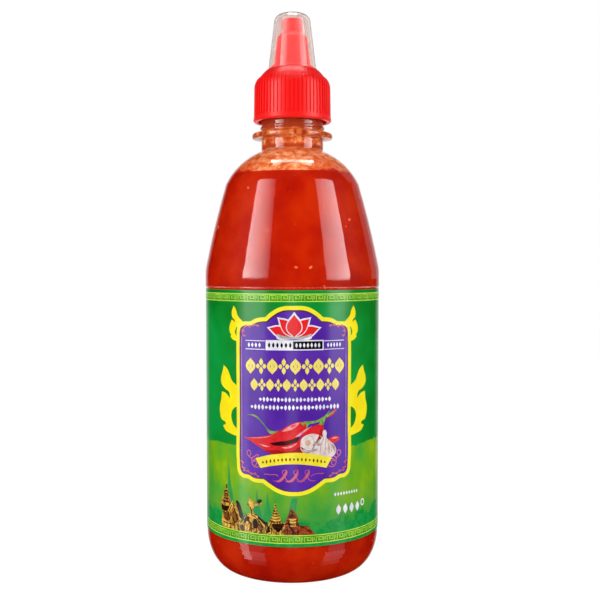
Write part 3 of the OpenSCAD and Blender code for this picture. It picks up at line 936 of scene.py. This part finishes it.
brown = [
    [(-28.6, 25.4, 1), (-25.6, 26.0), (-24.4, 24.2), (-26.2, 23.0), (-28.4, 23.8)],
    [(-22.8, 27.4), (-21.4, 26.6), (-21.0, 23.8), (-22.6, 22.6), (-23.6, 25.0)],
    [(-15.2, 24.2), (-14.8, 22.2), (-15.8, 20.9), (-16.4, 22.2)],
    [(-19.4, 22.6), (-18.2, 22.2), (-18.0, 20.8), (-19.6, 20.7)],
    [(-12.0, 23.8), (-10.6, 23.4), (-10.5, 21.4), (-12.0, 21.2)],
    [(-3.0, 22.0), (-1.6, 22.4), (-0.8, 20.9), (-3.0, 20.8)],
    [(-0.7, 29.1, 1), (0.5, 28.6, 1), (1.7, 26.8, 1), (-0.9, 26.8, 1)],
]
brown += [[(-28.6 + 0.22 * i, 29.6 + 1.3 * i), (-27.0 + 0.05 * i, 30.2 + 1.3 * i),
           (-25.4 - 0.25 * i, 29.8 + 1.3 * i), (-27.0, 29.5 + 1.3 * i)] for i in range(4)]
lay_print("temple_tiles", apart(brown), 3, BROWN)
light = [
    [(-23.6, 30.6, 1), (-23.0, 30.2), (-25.4, 26.4), (-26.0, 26.6, 1)],
    [(-28.8, 23.0), (-26.4, 22.6), (-24.6, 21.4), (-26.8, 20.6), (-28.8, 21.0)],
    [(-16.8, 26.5), (-14.6, 27.0), (-12.4, 25.9), (-14.6, 25.8)],
    [(-15.6, 32.2), (-14.6, 31.6), (-14.4, 29.0), (-15.4, 29.4)],
    [(-0.9, 26.2, 1), (1.5, 26.2, 1), (1.5, 23.4, 1), (-0.4, 23.4, 1)],
    [(-9.0, 23.6, 1), (-6.6, 20.6, 1), (-9.4, 20.6, 1)],
    [(-6.9, 26.6), (-4.6, 26.8), (-4.0, 25.6), (-7.2, 25.5)],
    [(-17.6, 22.6), (-16.6, 24.2), (-16.2, 21.0), (-17.4, 20.8)],
]
lay_print("temple_lights", apart(light), 4, GOLD_LIGHT)
lines = []
for axis, top, foot, reach, tiers in ((-26.7, 37.0, 30.2, 1.7, 7), (-5.9, 32.0, 25.2, 2.0, 7),
                                      (0.3, 29.6, 24.6, 2.3, 5)):
    for i in range(1, tiers + 1):
        z, half = top + (foot - top) * i / tiers, reach * (i / tiers) ** 1.2
        lines.append([(axis - half, z), (axis, z - 0.3), (axis + half, z)])
lines += [[(-23.5, 30.2), (-22.2, 27.2), (-20.6, 24.0)],
          [(-23.9, 29.0), (-25.2, 26.6), (-26.4, 24.6)],
          [(-19.4, 23.4), (-17.8, 25.8), (-16.0, 26.8)],
          [(-15.2, 26.9), (-12.2, 25.2), (-10.4, 22.4)],
          [(-17.9, 20.7), (-18.0, 23.8), (-16.9, 25.6), (-15.7, 23.8), (-15.6, 20.7)],
          [(-9.2, 20.7), (-7.9, 23.4), (-7.3, 24.6)],
          [(-15.4, 29.6), (-15.0, 28.4), (-14.8, 27.4)],
          [(-2.0, 24.4), (0.4, 23.9), (2.7, 24.1)],
          [(2.4, 23.8), (4.6, 22.8), (6.9, 21.0)],
          [(-28.6, 22.2), (-25.4, 22.0), (-22.2, 22.3)]]
lines += [[(-28.2 + 1.9 * i, 20.5), (-28.15 + 1.9 * i, 21.3),
           (-28.2 + 1.9 * i, 22.0 + 0.4 * (i % 3))] for i in range(17)]
lay_print("temple_lines", [[stroke(line, 0.3)] for line in lines], 5, UMBER)

# White marks where the pack's weight would be written.
side_marks = [[moved(bud(0, 0, 0.42, 0.7), 16.2 + 1.25 * i, 34.0) for i in range(9)],
              [bud(17.6 + 3.0 * i, 28.3, 1.0, 1.9) for i in range(4)],
              [oval(29.6, 29.2, 1.1, 1.3), oval(29.6, 29.2, 0.65, 0.85)]]
lay_print("side_marks", side_marks, 1, WHITE)


# ------------------------------------------------ camera, floor and light

LENS, SENSOR, SHIFT = 56.04, 36.0, 0.02725
EYE = (0.00293, -0.3602, 0.1152)       # metres
TILT = 3.0                             # degrees down
CAMERA_RANGE = (0.01, 20)              # metres
FLOOR_R = 1.6                          # metres
FLOOR_GLOW = 0.94                      # lifts the table to the white of the room
SHINE_FAR = 0.62                       # metres to the lamps that are seen in reflections
LIGHT_FAR = 0.7                        # metres to the lamps that light
STRIP_UP = 0.459                       # height of the middle of the tall softboxes, metres
TABLE_DOWN = -0.065                    # and of their images in the table
DEEP_DOWN = -0.43                      # and of what the heel sees of them
WALL = (0.8, 0.99)                     # how squarely a way faces the back wall, dark to white
ROOM = 0.3                             # light from the room on what has been lit once


def softbox(name, turn, lean, far, wide, tall, watts, aim=0.11, seen=True,
            fades=(1, 1), rises=(1, 1), bend=1):
    """An area lamp: turn degrees round from the camera's side, lean degrees up.

    It stands far metres from the axis and faces the height aim, also in metres.
    It is seen in reflections only, or, with seen off, it only lights what is matt.
    It may fade across its width and up its height, from one share of its strength to another;
    a bend over 1 keeps the second share to the top.
    """
    lamp = bpy.data.lights.new(name, "AREA")
    lamp.shape, lamp.size, lamp.size_y, lamp.energy = "RECTANGLE", wide, tall, watts
    lamp.use_nodes = True
    tree = lamp.node_tree
    face = add(tree, "ShaderNodeNewGeometry").outputs["Parametric"]
    place = add(tree, "ShaderNodeSeparateXYZ", links={"Vector": face})
    up = sum_up(tree, "POWER", place.outputs["Y"], bend)
    share = sum_up(tree, "MULTIPLY", between(tree, place.outputs["X"], 0.0, 1.0, *fades),
                   between(tree, up, 0.0, 1.0, *rises))
    tree.links.new(share, tree.nodes["Emission"].inputs["Strength"])
    holder = bpy.data.objects.new(name, lamp)
    a, e = math.radians(turn), math.radians(lean)
    way = Vector((math.sin(a) * math.cos(e), -math.cos(a) * math.cos(e), math.sin(e)))
    holder.location = Vector((0, 0, aim)) + way * far
    holder.rotation_euler = way.to_track_quat("Z", "Y").to_euler()
    holder.visible_glossy = seen
    holder.visible_diffuse = not seen
    bpy.context.scene.collection.objects.link(holder)


def studio():
    """The camera, a white table, softboxes and a white room."""
    scene = bpy.context.scene
    lens = bpy.data.cameras.new("camera")
    lens.lens, lens.sensor_width, lens.shift_y = LENS, SENSOR, SHIFT
    lens.clip_start, lens.clip_end = CAMERA_RANGE
    camera = bpy.data.objects.new("camera", lens)
    camera.location = EYE
    camera.rotation_euler = (math.radians(90 - TILT), 0, 0)
    scene.collection.objects.link(camera)
    scene.camera = camera
    scene.view_settings.view_transform = "Standard"

    select_none()
    bpy.ops.mesh.primitive_circle_add(vertices=96, radius=FLOOR_R, fill_type="NGON")
    floor = bpy.context.active_object
    floor.name = "floor"
    # Matt white studio table: even, with a trace of soft unevenness.
    made, tree, shader = new_material("matt_white_table", Roughness=0.9, Specular_IOR_Level=0.1)
    unevenness = mottle(tree, place_of(tree), 60, 1.0)
    tree.links.new(ramp(tree, unevenness, [(0.3, "#787878"), (0.7, "#808080")]),
                   shader.inputs["Base Color"])
    shader.inputs["Emission Color"].default_value = (1, 1, 1, 1)
    shader.inputs["Emission Strength"].default_value = FLOOR_GLOW
    floor.data.materials.append(made)
    floor.visible_glossy = False
    floor.visible_shadow = False

    # Two tall softboxes either side, and a faint one far round that greys the right edge.
    softbox("left_strip", -47, 0, SHINE_FAR, 0.39, 0.71, 8.4, STRIP_UP,
            fades=(1.1, 0.1), rises=(1.0, 0.3))
    softbox("right_strip", 61, 0, SHINE_FAR, 0.39, 0.71, 7.2, STRIP_UP,
            fades=(0.3, 1.0), rises=(1.0, 0.5))
    softbox("right_back_strip", 136, 0, SHINE_FAR, 0.26, 0.71, 0.15, STRIP_UP)
    # Their dimmer images in the table, which the label and the heel show.
    softbox("left_strip_on_table", -48, 0, SHINE_FAR, 0.32, 0.30, 0.85, TABLE_DOWN,
            rises=(0.1, 1.1), bend=3)
    softbox("left_edge_on_table", -65, 0, SHINE_FAR, 0.14, 0.50, 0.4, -0.17)
    softbox("right_strip_on_table", 60, 0, SHINE_FAR, 0.26, 0.30, 0.7, TABLE_DOWN,
            rises=(0.15, 1.1), bend=3)
    softbox("left_strip_in_table", -53, 0, SHINE_FAR, 0.36, 0.36, 0.32, DEEP_DOWN,
            rises=(0.2, 1.0))
    softbox("right_strip_in_table", 60, 0, SHINE_FAR, 0.34, 0.36, 0.32, DEEP_DOWN,
            rises=(0.2, 1.0))
    softbox("card_on_table", 0, 0, SHINE_FAR, 0.14, 0.28, 0.24, -0.055, rises=(0.0, 1.0))
    # What lights the bottle, and one box overhead that draws the arc on the shoulder.
    softbox("left_key", -53, 10, LIGHT_FAR, 0.4, 0.5, 1.55, seen=False)
    softbox("right_key", 58, 10, LIGHT_FAR, 0.4, 0.5, 1.0, seen=False)
    softbox("top_softbox", 180, 83, LIGHT_FAR, 0.47, 0.17, 4.3, rises=(1.0, 0.15), bend=0.6)
    softbox("left_rim", -108, 10, LIGHT_FAR, 0.3, 0.5, 0.42, seen=False)
    softbox("right_rim", 108, 10, LIGHT_FAR, 0.3, 0.5, 0.75, seen=False)
    softbox("top_fill", 0, 60, LIGHT_FAR, 0.5, 0.3, 1.3, seen=False)

    # A white room: seen directly and through the clear shells, and as a bright wall behind
    # where the edges mirror it. It adds little light of its own.
    world = bpy.data.worlds.new("studio")
    scene.world = world
    world.use_nodes = True
    tree = world.node_tree
    tree.nodes.clear()
    way = add(tree, "ShaderNodeTexCoord").outputs["Generated"]
    depth = add(tree, "ShaderNodeSeparateXYZ", links={"Vector": way}).outputs["Y"]
    wall = between(tree, depth, *WALL)
    path = add(tree, "ShaderNodeLightPath")
    bounced = sum_up(tree, "GREATER_THAN", path.outputs["Diffuse Depth"], 0.5)
    clear = sum_up(tree, "SUBTRACT", path.outputs["Is Transmission Ray"], bounced)
    seen = sum_up(tree, "MAXIMUM", path.outputs["Is Camera Ray"], clear)
    fill = sum_up(tree, "MULTIPLY", bounced, ROOM)
    level = sum_up(tree, "MAXIMUM", sum_up(tree, "MAXIMUM", seen, wall), fill)
    light = add(tree, "ShaderNodeBackground", {"Color": (1, 1, 1, 1)}, {"Strength": level})
    add(tree, "ShaderNodeOutputWorld", links={"Surface": light.outputs["Background"]})


studio()
